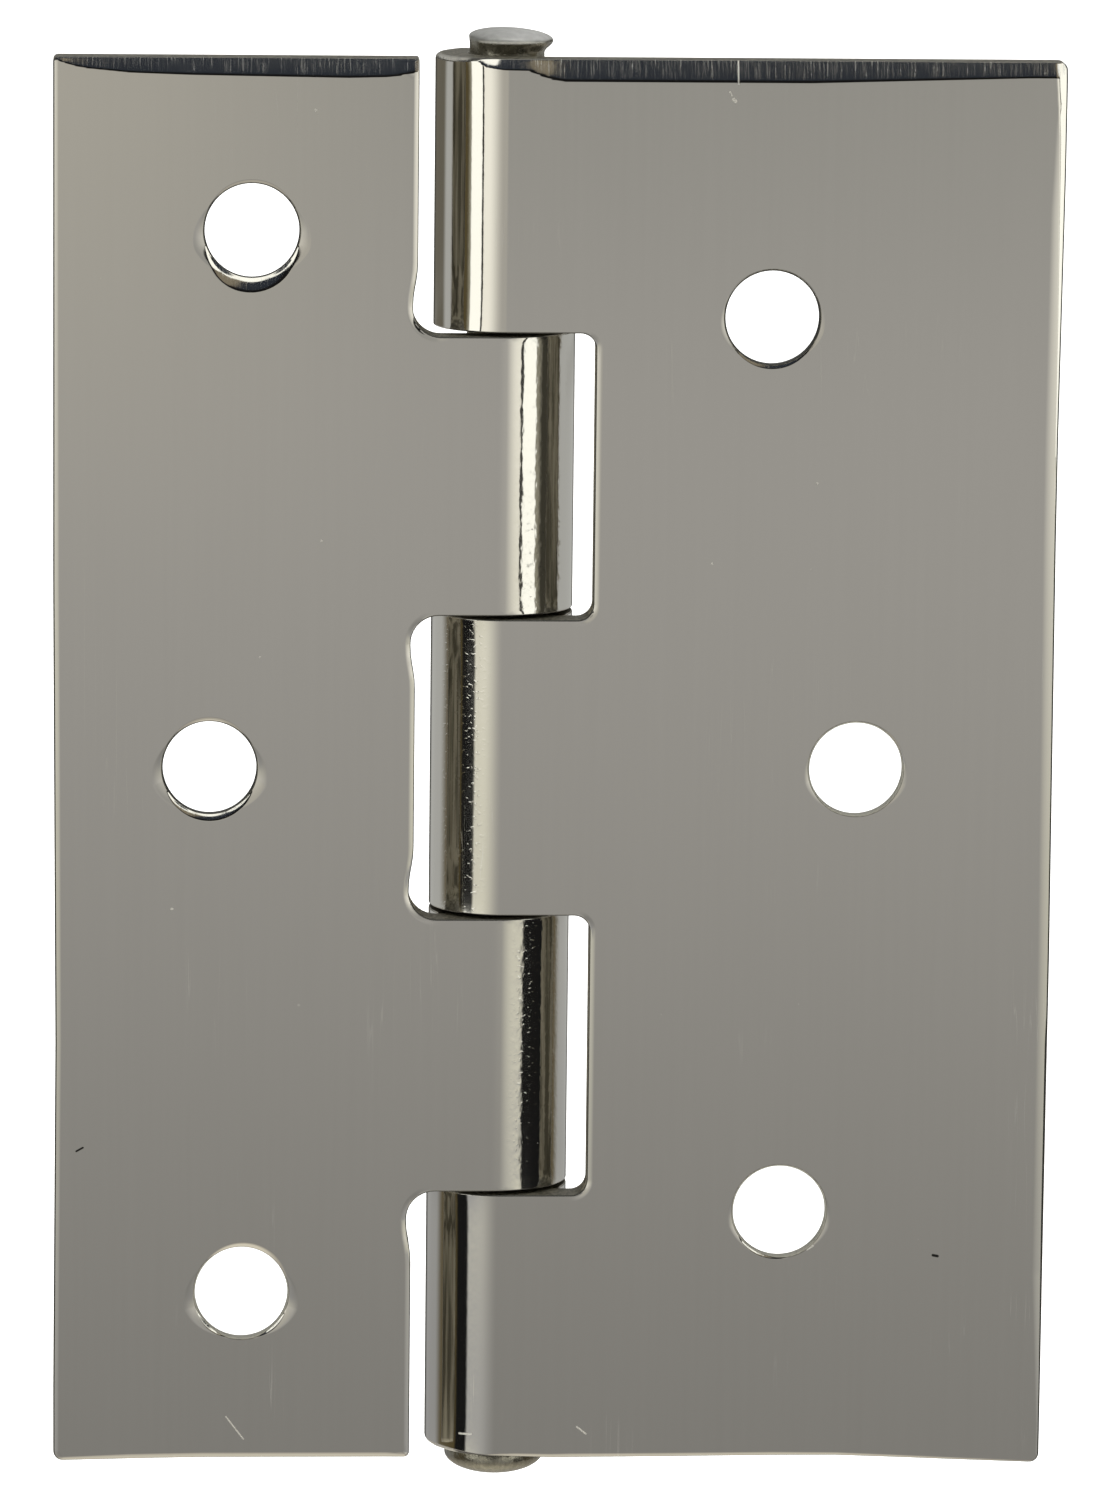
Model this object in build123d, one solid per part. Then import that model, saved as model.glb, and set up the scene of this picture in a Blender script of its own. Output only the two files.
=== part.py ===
from build123d import *
import math
import os

# A cabinet butt hinge of polished sheet steel, opened flat. Millimetres.
# Z runs up the pin. The leaves' flush mounting faces lie in the plane y = 0 and face -Y.
# The knuckles roll towards +Y. x = 0 is the line of the pin, z = 0 is half way up.

# Leaves
leaf_height = 76.0
wide_leaf_width = 29.6  # pin axis to free edge
narrow_leaf_width = 24.05  # pin axis to free edge
sheet_thickness = 1.75
leaf_corner_radius = 0.5  # free corners, seen on the flat

# Pin
pin_diameter = 4.0
running_clearance = 0.05  # between pin and roll, on the radius

# Rolled knuckles: the wide leaf has the middle one and both ends, the narrow leaf the two between
middle_knuckle_length = 16.3
narrow_knuckle_length = 15.2
knuckle_gap = 0.2  # end play between neighbouring knuckles
seam_gap = 0.15  # between the end of a roll and the back of its own leaf

# Notches that clear the other leaf's knuckles
notch_edge = 4.75  # pin axis to the bottom of a notch
wide_notch_corner_radius = 0.85
relief_radius = 1.5  # round corner relief in the narrow leaf's notches
relief_overshoot = 0.25  # how far that relief bites past the notch edge
relief_runout = 1.4  # length over which it runs back out to the notch edge
relief_ease_share = 1 / 3  # of that run-out, taken up by the easing at each of its ends
relief_flat = 0.1  # straight length between the round corner and the first easing

# Screw holes: countersunk on the knuckle side, each placed by its distance from the pin and its height
hole_diameter = 5.0
hole_land = 0.65  # straight part of the hole, from the flush face
countersink_angle = 90.0
wide_leaf_holes = [(14.1, 24.35), (18.95, 0.0), (15.2, -24.35)]
narrow_leaf_holes = [(13.55, 28.85), (15.7, 0.0), (13.9, -28.85)]

# Edges round the flush face and the outside of the knuckles: rolled over at the top, bevelled elsewhere
top_edge_rounding = 0.6
edge_bevel = 0.25

# Pin heads
forged_head_diameter = 5.4
forged_head_rim = 0.68  # straight side of the bottom head
forged_head_crown = 1.05  # dome below that
peened_head_diameter = 4.47
peened_neck = 0.12  # bare pin between the top knuckle and the flare
peened_flare = 0.62  # height over which the top end flares out
peened_head_crown = 0.65  # dome above that

# Worked out from the above
top = leaf_height / 2
roll_inner_radius = pin_diameter / 2 + running_clearance
knuckle_radius = roll_inner_radius + sheet_thickness
middle_joint = middle_knuckle_length / 2  # height of the joints beside the middle knuckle
end_joint = middle_joint + narrow_knuckle_length  # height of the joints beside the end knuckles
half_gap = knuckle_gap / 2
hair = 1e-3  # tolerance for picking corners and edges by their place
oval_pull = 4 / 3 * (math.sqrt(2) - 1)  # how far a quarter oval's control points reach along its sides
relief_ease_length = math.hypot(relief_overshoot, relief_runout) * relief_ease_share
relief_ease_radius = relief_ease_length / math.tan(math.atan2(relief_overshoot, relief_runout) / 2)
relief_straight = relief_radius + relief_flat + relief_ease_length
wide_knuckles = [
    (end_joint + half_gap, top),
    (-middle_joint + half_gap, middle_joint - half_gap),
    (-top, -end_joint - half_gap),
]
narrow_knuckles = [
    (middle_joint + half_gap, end_joint - half_gap),
    (-end_joint + half_gap, -middle_joint - half_gap),
]


def roll_section():
    """The rolled end of a leaf's strip, seen along the pin, from its start at x = 0 round to the seam."""
    pin = (0, knuckle_radius)
    end_angle = -math.degrees(math.asin((roll_inner_radius - seam_gap) / knuckle_radius))
    roll_turn = end_angle + 90 - 360
    outer = CenterArc(pin, knuckle_radius, -90, roll_turn)
    inner = CenterArc(pin, roll_inner_radius, -90, roll_turn)
    edges = [outer, Line(outer @ 1, inner @ 1), inner, Line(inner @ 0, outer @ 0)]
    return make_face(Wire(edges))


def box_notch(low, high):
    """A notch as a plain rectangle that runs out past the start of the roll."""
    reach = notch_edge + knuckle_radius
    return Pos(notch_edge - reach / 2, (low + high) / 2) * Rectangle(reach, high - low)


def corners_at(shape, x, low=-top, high=top):
    """The corners of a flat shape that lie at x, between two heights."""
    at_x = shape.vertices().filter_by_position(Axis.X, x - hair, x + hair)
    return at_x.filter_by_position(Axis.Y, low - hair, high + hair)


def plain_notch(low, high):
    """A notch with small rounded corners."""
    notch = box_notch(low, high)
    return fillet(corners_at(notch, notch_edge), wide_notch_corner_radius)


def corner_relief(end, inward):
    """The round bite at one corner of a notch, from its tab's edge to where it meets the notch edge."""
    bite_edge = notch_edge + relief_overshoot
    run_start = end + inward * relief_straight
    run_end = run_start + inward * relief_runout
    mouth = -knuckle_radius
    points = [(mouth, end), (bite_edge, end), (bite_edge, run_start), (notch_edge, run_end), (mouth, run_end)]
    bite = make_face(Polyline(points, close=True))
    bite = fillet(corners_at(bite, bite_edge, end, end), relief_radius)
    return fillet(corners_at(bite, bite_edge, run_start, run_start), relief_ease_radius)


def relieved_notch(low, high):
    """A notch whose corners are punched round, bite a little past its edge and run back out to it."""
    relief_length = relief_straight + relief_runout
    ends = [(end, inward) for end, inward in ((low, 1), (high, -1)) if abs(end) < top]
    plain_low = low + relief_length if low > -top else low
    plain_high = high - relief_length if high < top else high
    notch = box_notch(plain_low, plain_high)
    for end, inward in ends:
        notch += corner_relief(end, inward)
    return fillet(corners_at(notch, notch_edge), relief_ease_radius)


def leaf_outline(width, other_knuckles, notch_shape):
    """The flat of a leaf, square on to its flush face, with a notch for each of the other leaf's knuckles."""
    outline = Pos(width / 2, 0) * Rectangle(width, leaf_height)
    free_corners = outline.vertices().group_by(Axis.X)[-1]
    outline = fillet(free_corners, leaf_corner_radius)
    for low, high in other_knuckles:
        outline -= notch_shape(low - knuckle_gap, high + knuckle_gap)
    return outline


def screw_hole():
    """A countersunk screw hole along Y, straight at the flush face and opening towards the back."""
    radius = hole_diameter / 2
    front = -sheet_thickness
    back = 2 * sheet_thickness
    mouth = radius + (back - hole_land) * math.tan(math.radians(countersink_angle / 2))
    points = [(0, front), (radius, front), (radius, hole_land), (mouth, back), (0, back)]
    half_section = make_face(Polyline(points, close=True))
    return revolve(half_section, Axis.Y)


def on_outer_skin(edge):
    """True for an edge that borders the flush face or the outside of a roll."""
    middle = edge @ 0.5
    on_plate = abs(middle.Y) < hair
    on_roll = abs(math.hypot(middle.X, middle.Y - knuckle_radius) - knuckle_radius) < hair
    along_pin = edge.geom_type == GeomType.LINE and abs((edge % 0.5).Z) > 1 - hair
    return (on_plate or on_roll) and not (along_pin and middle.X < knuckle_radius)


def leaf(width, knuckles, other_knuckles, notch_shape, holes):
    """One leaf running to +X: the flat plate with its holes, a roll on each tab, and the edges eased."""
    outline = leaf_outline(width, other_knuckles, notch_shape)
    body = extrude(Plane.XZ * outline, -sheet_thickness)
    for distance, height in holes:
        body -= Pos(distance, 0, height) * screw_hole()
    for low, high in knuckles:
        body += Pos(0, 0, low) * extrude(roll_section(), high - low)
    body = body.solids()[0]
    top_edges = body.edges().filter_by(on_outer_skin).filter_by_position(Axis.Z, top - hair, top + hair)
    body = fillet(top_edges, top_edge_rounding).solids()[0]
    below_top = top - top_edge_rounding + hair
    other_edges = body.edges().filter_by(on_outer_skin).filter_by_position(Axis.Z, -top - hair, below_top)
    return chamfer(other_edges, edge_bevel).solids()[0]


def wide_leaf():
    return leaf(wide_leaf_width, wide_knuckles, narrow_knuckles, plain_notch, wide_leaf_holes)


def narrow_leaf():
    facing_right = leaf(narrow_leaf_width, narrow_knuckles, wide_knuckles, relieved_notch, narrow_leaf_holes)
    return mirror(facing_right, Plane.YZ)


def crown(radius, rim_z, height):
    """Half the section of an oval dome, from pole to rim. Below its rim, a dome has a negative height."""
    pole_z = rim_z + height
    by_pole = (oval_pull * radius, pole_z)
    by_rim = (radius, rim_z + oval_pull * height)
    return Bezier((0, pole_z), by_pole, by_rim, (radius, rim_z))


def hinge_pin():
    """The pin turned about its own axis: forged head below, peened mushroom above, both with oval domes."""
    radius = pin_diameter / 2
    forged = forged_head_diameter / 2
    peened = peened_head_diameter / 2
    rim_z = -top - forged_head_rim
    flare_z = top + peened_neck
    peened_z = flare_z + peened_flare
    bottom_crown = crown(forged, rim_z, -forged_head_crown)
    top_crown = crown(peened, peened_z, peened_head_crown)
    sides = Polyline(
        (forged, rim_z), (forged, -top), (radius, -top), (radius, flare_z), (peened, peened_z)
    )
    axis_line = Line(top_crown @ 0, bottom_crown @ 0)
    half_section = make_face(Wire([bottom_crown, *sides.edges(), top_crown, axis_line]))
    upright = Plane.XZ * half_section
    return Pos(0, knuckle_radius, 0) * revolve(upright, Axis.Z)


os.makedirs("parts", exist_ok=True)
for make in (wide_leaf, narrow_leaf, hinge_pin):
    export_step(make(), f"parts/{make.__name__}.step")
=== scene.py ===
import math
from dataclasses import dataclass

import bpy
import numpy as np
from mathutils import Matrix, Vector
from mathutils.geometry import delaunay_2d_cdt


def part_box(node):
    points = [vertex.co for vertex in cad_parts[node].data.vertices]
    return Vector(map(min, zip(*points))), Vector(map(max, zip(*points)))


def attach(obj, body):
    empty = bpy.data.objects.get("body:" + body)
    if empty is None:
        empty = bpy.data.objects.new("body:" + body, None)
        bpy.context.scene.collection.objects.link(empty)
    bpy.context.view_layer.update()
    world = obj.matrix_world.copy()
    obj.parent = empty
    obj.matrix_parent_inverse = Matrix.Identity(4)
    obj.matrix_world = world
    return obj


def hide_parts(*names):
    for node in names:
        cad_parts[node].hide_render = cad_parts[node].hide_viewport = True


# A polished sheet steel butt hinge, opened flat. The frame is in metres, the sizes below in millimetres.
# Each leaf is a strip: s runs along it from the pin line, z runs up the pin, and depth runs in from the
# flush face. Where s is below zero, the strip is rolled round the pin.

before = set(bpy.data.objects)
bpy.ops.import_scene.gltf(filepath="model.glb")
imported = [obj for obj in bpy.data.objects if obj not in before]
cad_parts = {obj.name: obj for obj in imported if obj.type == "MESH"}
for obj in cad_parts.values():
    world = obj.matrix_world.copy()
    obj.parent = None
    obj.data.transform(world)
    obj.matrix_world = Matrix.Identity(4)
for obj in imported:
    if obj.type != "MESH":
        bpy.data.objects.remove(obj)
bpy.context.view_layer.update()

MM = 0.001
wide_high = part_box("wide_leaf")[1] / MM
narrow_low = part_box("narrow_leaf")[0] / MM
pin_low, pin_high = (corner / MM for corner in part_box("hinge_pin"))

# Sheet and roll
TOP = wide_high.z
WIDE_WIDTH = wide_high.x
NARROW_WIDTH = -narrow_low.x
KNUCKLE_RADIUS = wide_high.y / 2
SHEET = 1.75
ROLL_TURN = math.radians(300)
ROLL_LENGTH = ROLL_TURN * KNUCKLE_RADIUS

# Knuckles and notches
MIDDLE_JOINT = 8.15
END_JOINT = 23.35
HALF_GAP = 0.1
NOTCH_EDGE = 4.75
WIDE_NOTCH_CORNER = 0.85
RELIEF_RADIUS = 1.5
RELIEF_OVERSHOOT = 0.25
RELIEF_RUNOUT = 1.4
RELIEF_STRAIGHT = 2.07
RELIEF_EASE = 5.35
ROLL_END_CORNER = 0.3
WIDE_KNUCKLES = [
    (END_JOINT + HALF_GAP, TOP),
    (-MIDDLE_JOINT + HALF_GAP, MIDDLE_JOINT - HALF_GAP),
    (-TOP, -END_JOINT - HALF_GAP),
]
NARROW_KNUCKLES = [
    (MIDDLE_JOINT + HALF_GAP, END_JOINT - HALF_GAP),
    (-END_JOINT + HALF_GAP, -MIDDLE_JOINT - HALF_GAP),
]

# Free corners, seen on the flat
WIDE_TOP_CORNER = 0.42
WIDE_BOTTOM_CORNER = 0.5
NARROW_TOP_CORNER = 0.26
NARROW_BOTTOM_CORNER = 0.55
NARROW_TOP_NOTCH_CORNER = 0.12
NARROW_BOTTOM_NOTCH_CORNER = 0.3

# Roll-over of the flush face towards its sheared edges: how it leans, and how soon the lean sets in
BOTTOM_LEAN = math.radians(25)
RIM_LEAN = math.radians(22)
RIM_STEEPER = math.radians(20)
NOTCH_LEAN = math.radians(14)
SHARP = 0.19
SOFT = 0.4

# Width of that roll-over along each edge, as (distance from the pin or height, width)
WIDE_TOP_BAND = [
    (-1.9, 0.0), (-1.3, 0.45), (-0.3, 0.6), (1.0, 0.62), (1.6, 0.85),
    (2.2, 1.08), (3.0, 1.2), (16, 1.2), (27.9, 0.85),
]
NARROW_TOP_BAND = [
    (4.8, 0.7), (6.2, 1.0), (8.5, 1.06), (16.7, 0.95),
    (19.9, 0.85), (22.3, 0.62), (23.3, 0.4), (24.0, 0.1),
]
WIDE_BOTTOM_BAND = [(-2, 0.0), (1, 0.2), (4, 0.25), (15, 0.22), (29, 0.1)]
NARROW_BOTTOM_BAND = [(4.8, 0.2), (6, 0.3), (20, 0.3), (24, 0.2)]
WIDE_FREE_BAND = [(-20, 0.06), (10, 0.1), (24, 0.24), (34, 0.42), (38, 0.7)]
NARROW_FREE_BAND = [(-38, 0.3), (0, 0.35), (37, 0.3)]
NOTCH_BAND = 0.35

# How far the top and free edges lean, as (distance from the pin or height, degrees)
WIDE_TOP_LEAN = [(-0.8, 36), (-0.3, 25)]
NARROW_TOP_LEAN = [(0, 25)]
WIDE_FREE_LEAN = [(-20, 14), (34, 14), (36.5, 19)]
NARROW_FREE_LEAN = [(0, 9)]

# A second, softer roll-over along the wide leaf's free edge, as (height, width)
WIDE_FREE_GLOW = [(-36, 0.2), (-28, 0.6), (10, 0.72), (30, 0.8), (35, 0.6), (36.5, 0.0)]
GLOW_LEAN = math.radians(9)

# Screw holes, and the roll-over round each kind of rim as (degrees seen from the front, width)
HOLE_RADIUS = 2.5
HOLE_LAND = 0.65
DRAGGED_RIM = [
    (-162, 0.05), (-145, 0.35), (-120, 0.75), (-95, 0.86), (-70, 0.76), (-45, 0.48), (-25, 0.15),
    (-5, 0.04), (30, 0.05), (50, 0.2), (90, 0.24), (130, 0.2), (150, 0.06), (180, 0.04),
]
SOFT_RIM = [
    (-155, 0.06), (-130, 0.32), (-90, 0.44), (-50, 0.32), (-25, 0.06), (0, 0.04),
    (35, 0.06), (60, 0.22), (90, 0.28), (120, 0.22), (145, 0.06), (180, 0.04),
]
TURNED_RIM = [
    (-165, 0.08), (-140, 0.22), (-115, 0.16), (-90, 0.06), (-65, 0.16), (-40, 0.22), (-15, 0.08),
    (10, 0.07), (30, 0.18), (60, 0.34), (95, 0.32), (130, 0.16), (150, 0.05), (180, 0.04),
]
NEAT_RIM = [
    (-150, 0.05), (-120, 0.22), (-90, 0.27), (-60, 0.22), (-30, 0.05), (0, 0.05), (25, 0.15),
    (45, 0.15), (65, 0.1), (90, 0.12), (120, 0.12), (145, 0.17), (165, 0.13), (180, 0.05),
]
RIGHT_RIM = [
    (-140, 0.13), (-90, 0.05), (-40, 0.05), (-10, 0.1), (15, 0.17), (45, 0.17), (70, 0.1), (180, 0.1),
]
LEFT_RIM = [
    (-150, 0.1), (-125, 0.22), (-95, 0.18), (-60, 0.06), (0, 0.04), (90, 0.06), (150, 0.1), (180, 0.12),
]
RIM_BLUR = (-16, -8, 0, 8, 16)  # degrees over which those widths are evened out

# Each hole as (distance from the pin, height, rim, share of the roll-over that is steeper)
WIDE_HOLES = [
    (14.1, 24.35, NEAT_RIM, 0.4),
    (18.95, 0.0, RIGHT_RIM, 0.6),
    (15.2, -24.35, LEFT_RIM, 0.75),
]
NARROW_HOLES = [
    (13.55, 28.85, DRAGGED_RIM, 0.4),
    (15.7, 0.0, SOFT_RIM, 0.5),
    (13.9, -28.85, TURNED_RIM, 0.8),
]

# Sheared edges run a little out of true: how far, as (distance from the pin or height, offset outwards)
WIDE_BOTTOM_DRIFT = [
    (0, 0.0), (3, 0.1), (9, 0.06), (15, 0.0), (18.5, 0.0), (21.8, 0.12), (25, 0.25), (29, 0.4),
]
NARROW_BOTTOM_DRIFT = [(5, 0.05), (16, 0.05), (18.5, 0.09), (21, 0.14), (24, 0.2)]
WIDE_FREE_DRIFT = [(-10, 0.0), (12, -0.12), (18, -0.12), (32, 0.0)]
NARROW_FREE_DRIFT = [(-34, 0.0), (-15, -0.12), (10, 0.0)]
DRIFT_REACH = 6.0  # how far in from an edge its drift dies out

# The strip of each leaf's uppermost knuckle is cut away at the top, over the back of the roll to its end
STRIP_CUT = 1.3
STRIP_CUT_START = math.radians(140) * KNUCKLE_RADIUS
STRIP_CUT_RUN = math.radians(75) * KNUCKLE_RADIUS

# Each knuckle is a little waisted between its ends
WAIST = 0.035
WAIST_RUN = 0.9
WAIST_ONSET = math.radians(45) * KNUCKLE_RADIUS

# The narrow leaf's bend sets in before the pin line, and comes back to the round beyond it
LEAD = 0.095
LEAD_START = 0.6
LEAD_RUN = 1.8
LEAD_RETURN = 4.3

# Screw holes are slightly dished at their sides, more so in the narrow leaf
WIDE_DISH = 0.4
NARROW_DISH = 0.8
DISH_LEAN = math.radians(9)
DISH_REACH = 0.7  # how far up a hole's side the dish goes, as a share of the hole's radius

# Small roundings where faces meet: front edges, the roll's ends, hole rims, back edges and countersinks
LIP = 0.08
ROLL_LIP = 0.3
RIM_LIP = 0.12
BACK_LIP = 0.1
COUNTERSINK_LIP = 0.03

# How much wider the front lip is along a worn free edge, as (height, width)
WIDE_WORN_LIP = [(-34, 0.04), (-25, 0.12), (-15, 0.13), (-13.5, 0.06), (30, 0.06)]
NARROW_WORN_LIP = [(0, 0.04)]

# Pin
PIN_RADIUS = 2.0
FORGED_RADIUS = pin_high.x
FORGED_RIM = 0.68
PEENED_RADIUS = 2.235
PEENED_NECK = 0.12
PEENED_FLARE = 0.62
PEENED_TILT = math.radians(2.5)
PEENED_SHIFT = 0.2
PIN_BEVEL = 0.05
FLARE_Z = TOP + PEENED_NECK
BRIM_Z = FLARE_Z + PEENED_FLARE

# The peened head is hammered a little out of round, in broad lobes with finer ones over them
PEENED_WOBBLE = 0.012
BROAD_LOBES = 3
BROAD_LOBES_TURN = 1.0
FINE_LOBES = 7
FINE_LOBES_SHARE = 0.7

# How the points of a leaf are marked for its material, with lips and countersinks in between
POLISHED = 0.0
SHEARED = 1.0
BORED = 2.0
COUNTERSINK_DEEP = 0.6
COUNTERSINK_MOUTH = 0.3

# Mesh steps
ROLL_STEP = math.radians(3) * KNUCKLE_RADIUS
PLATE_STEP = 0.5
BAND_STEP = 0.07
CORNER_STEP = math.radians(9)
HOLE_STEPS = 180
BAND_SHARES = np.array([1.08, 1.0, 0.97, 0.94, 0.9, 0.85, 0.78, 0.68, 0.55, 0.4, 0.25, 0.12])
NARROWEST_BAND = 0.2
CORNER_NET = 2.2
NET_STEP = 3.0
NET_MARGIN = 2.0
KNUCKLE_ROWS = np.array([0.3, 0.5, 0.8, 1.2, 1.8, 2.7])  # in from each end of a knuckle
KNUCKLE_SPANS = 6
LIP_STEPS = 4
BACK_STEPS = 3
PIN_STEPS = 96
DOME_STEPS = 16
FLARE_STEPS = 8
HAIR = 0.01
WELD = 1e-7


def unit(vector):
    return vector / np.linalg.norm(vector)


def smooth(share):
    """Runs from 0 to 1 with level ends."""
    share = np.clip(share, 0, 1)
    return share * share * (3 - 2 * share)


def along(table, place):
    """A value read off a short list of (place, value), straight between its entries."""
    places, values = zip(*table)
    return np.interp(place, places, values)


def rollover(inset, width, lean, shoulder=SHARP):
    """How deep the flush face has fallen at an inset from an edge, for one roll-over's width and lean."""
    share = np.clip(1 - inset / np.maximum(width, HAIR), 0, 1)
    eased = share + shoulder * (np.exp(-share / shoulder) - 1)
    return width * np.tan(lean) * eased


def rim_width(across, up, table):
    """The width of the roll-over round a screw hole, in the direction of some points."""
    degrees, widths = zip(*table)
    bearing = np.degrees(np.arctan2(up, across))
    return np.mean([np.interp(bearing + turn, degrees, widths, period=360) for turn in RIM_BLUR], axis=0)


def dish_width(across, up, widest):
    """The width of the slight dish round a screw hole, widest at its sides and below them."""
    return widest * across ** 2 * np.clip(DISH_REACH - up, 0, 1)


def rim_fall(across, up, table, inner, dish):
    """The fall towards a screw hole: a slight dish at its sides, and a roll-over, steeper at the rim."""
    from_centre = np.hypot(across, up)
    away = from_centre - HOLE_RADIUS
    width = rim_width(across, up, table)
    fallen = rollover(away, width, RIM_LEAN) + rollover(away, inner * width, RIM_STEEPER)
    dished = dish_width(across / from_centre, up / from_centre, dish)
    return fallen + rollover(away, dished, DISH_LEAN, SOFT)


def nearest_run(points, starts, ends):
    """How far points lie from the nearest of some straight runs, and which run that is."""
    runs = ends - starts
    offsets = points[:, None] - starts
    share = np.clip((offsets * runs).sum(axis=-1) / (runs * runs).sum(axis=-1), 0, 1)
    away = np.linalg.norm(offsets - share[..., None] * runs, axis=-1)
    return away.min(axis=1), away.argmin(axis=1)


@dataclass
class Leaf:
    """One leaf: its outline, where its flush face falls away, and how its edges drift."""

    facing: int
    width: float
    outline: list
    knuckles: list
    holes: list
    dish: float
    top_band: list
    top_lean: list
    bottom_band: list
    free_band: list
    free_lean: list
    worn_lip: list
    bottom_drift: list
    free_drift: list

    def __post_init__(self):
        self.is_wide = self.facing > 0
        self.edge, self.outwards = rounded_loop(self.outline)

    def depth(self, points):
        """How deep the outer skin lies below the flush face, or below the full roll."""
        s, z = points[:, 0], points[:, 1]
        top_width, free_width = along(self.top_band, s), along(self.free_band, z)
        top_lean, free_lean = np.radians(along(self.top_lean, s)), np.radians(along(self.free_lean, z))
        fallen = rollover(TOP - z, top_width, top_lean) + rollover(self.width - s, free_width, free_lean)
        if self.is_wide:
            fallen += rollover(self.width - s, along(WIDE_FREE_GLOW, z), GLOW_LEAN, SOFT)
        fallen += rollover(TOP + z, along(self.bottom_band, s), BOTTOM_LEAN)
        for distance, height, rim, inner in self.holes:
            across, up = self.facing * (s - distance), z - height
            fallen += rim_fall(across, up, rim, inner, self.dish)
        fallen += self.notch_fall(points)
        if not self.is_wide:
            led = smooth((LEAD_START - s) / LEAD_RUN) - smooth((LEAD_START - LEAD_RUN - s) / LEAD_RETURN)
            fallen += LEAD * led
        on_roll = smooth(-s / WAIST_ONSET) - smooth(-s / WAIST_ONSET - 1)
        for low, high in self.knuckles:
            from_end = np.clip(np.minimum(z - low, high - z), 0, None)
            fallen += WAIST * on_roll * (1 - np.exp(-from_end / WAIST_RUN))
        return fallen

    def by_notch(self):
        """Which points of the outline lie on the notches or on the tabs between them."""
        s, z = self.edge.T
        return (np.abs(z) < TOP - HAIR) & (s > -NOTCH_BAND) & (s < NOTCH_EDGE + 2 * NOTCH_BAND)

    def notch_fall(self, points):
        """The fall towards the edges of the notches, where they run along the pin."""
        s = points[:, 0]
        near = np.flatnonzero((s > -NOTCH_BAND) & (s < NOTCH_EDGE + 2 * NOTCH_BAND))
        runs = np.flatnonzero(self.by_notch() & np.roll(self.by_notch(), -1))
        away, nearest = nearest_run(points[near], self.edge[runs], np.roll(self.edge, -1, axis=0)[runs])
        upright = self.outwards[runs[nearest], 0] ** 2
        fallen = np.zeros(len(points))
        fallen[near] = rollover(away, NOTCH_BAND, NOTCH_LEAN, SOFT) * upright
        return fallen

    def slope(self, points):
        """How fast that depth grows along s and along z."""
        steps = np.array(((HAIR, 0), (0, HAIR)))
        rises = [(self.depth(points + step) - self.depth(points - step)) / (2 * HAIR) for step in steps]
        return np.stack(rises, axis=1)

    def drift(self, points):
        """Points moved to where the sheared edges really run."""
        s, z = points[:, 0], points[:, 1]
        near_bottom = 1 - smooth((z + TOP) / DRIFT_REACH)
        near_free = 1 - smooth((self.width - s) / DRIFT_REACH)
        knuckle_top = self.knuckles[0][1]
        near_end = smooth((z - knuckle_top) / DRIFT_REACH + 1)
        cut_away = STRIP_CUT * smooth((-s - STRIP_CUT_START) / STRIP_CUT_RUN) * near_end
        new_z = z - along(self.bottom_drift, s) * near_bottom - cut_away
        new_s = s + along(self.free_drift, z) * near_free
        return np.stack([new_s, new_z], axis=1)

    def place(self, points, depth, flat_normal, depth_normal):
        """Puts strip points and directions in the frame, rolling what lies before the pin line."""
        s, z = self.drift(points).T
        turn = np.where(s < 0, -s / KNUCKLE_RADIUS, 0.0)
        radius = KNUCKLE_RADIUS - depth
        x = np.where(s < 0, -radius * np.sin(turn), s)
        y = KNUCKLE_RADIUS - radius * np.cos(turn)
        cos, sin = np.cos(turn), np.sin(turn)
        nx = flat_normal[:, 0] * cos + depth_normal * sin
        ny = -flat_normal[:, 0] * sin + depth_normal * cos
        spot = np.stack([self.facing * x, y, z], axis=1)
        normal = np.stack([self.facing * nx, ny, flat_normal[:, 1]], axis=1)
        return spot * MM, normal


def line_stations(start, end):
    """Points inside a straight run of an outline: close together on the roll, wider on the plate."""
    run = end - start
    length = np.linalg.norm(run)
    if abs(run[1]) > HAIR:
        count = max(1, math.ceil(length / PLATE_STEP))
        return [start + run * k / count for k in range(1, count)]
    low, high = sorted((start[0], end[0]))
    on_roll = -np.arange(0, ROLL_LENGTH, ROLL_STEP)
    on_plate = np.arange(PLATE_STEP, high + PLATE_STEP, PLATE_STEP)
    values = np.concatenate([on_roll, on_plate])
    margin = ROLL_STEP / 3
    values = np.sort(values[(values > low + margin) & (values < high - margin)])
    if end[0] < start[0]:
        values = values[::-1]
    return [np.array([s, start[1]]) for s in values]


def rounded_loop(corners):
    """A closed outline with rounded corners, counter-clockwise: points, and directions out of the sheet."""
    arcs = []
    for i, (s, z, radius) in enumerate(corners):
        here = np.array([s, z])
        along_in = unit(here - np.array(corners[i - 1][:2]))
        along_out = unit(np.array(corners[(i + 1) % len(corners)][:2]) - here)
        turn = math.atan2(along_in[0] * along_out[1] - along_in[1] * along_out[0], along_in @ along_out)
        side = math.copysign(1, turn)
        start = here - along_in * radius * math.tan(abs(turn) / 2)
        leftward = np.array([-along_in[1], along_in[0]])
        centre = start + side * radius * leftward
        steps = max(2, math.ceil(abs(turn) / CORNER_STEP))
        arc = []
        for k in range(steps + 1):
            angle = turn * k / steps
            heading = math.cos(angle) * along_in + math.sin(angle) * leftward
            outward = np.array([heading[1], -heading[0]])
            arc.append((centre + side * radius * outward, outward))
        arcs.append(arc)
    samples = []
    for i, arc in enumerate(arcs):
        samples += arc
        last, outward = arc[-1]
        following = arcs[(i + 1) % len(arcs)][0][0]
        samples += [(point, outward) for point in line_stations(last, following)]
    points, outwards = zip(*samples)
    return np.array(points), np.array(outwards)


def hole_loop(distance, height):
    """A screw hole's edge, clockwise, with its directions pointing into the hole."""
    angles = -2 * math.pi * np.arange(HOLE_STEPS) / HOLE_STEPS
    ray = np.stack([np.cos(angles), np.sin(angles)], axis=1)
    return np.array([distance, height]) + HOLE_RADIUS * ray, -ray


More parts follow.
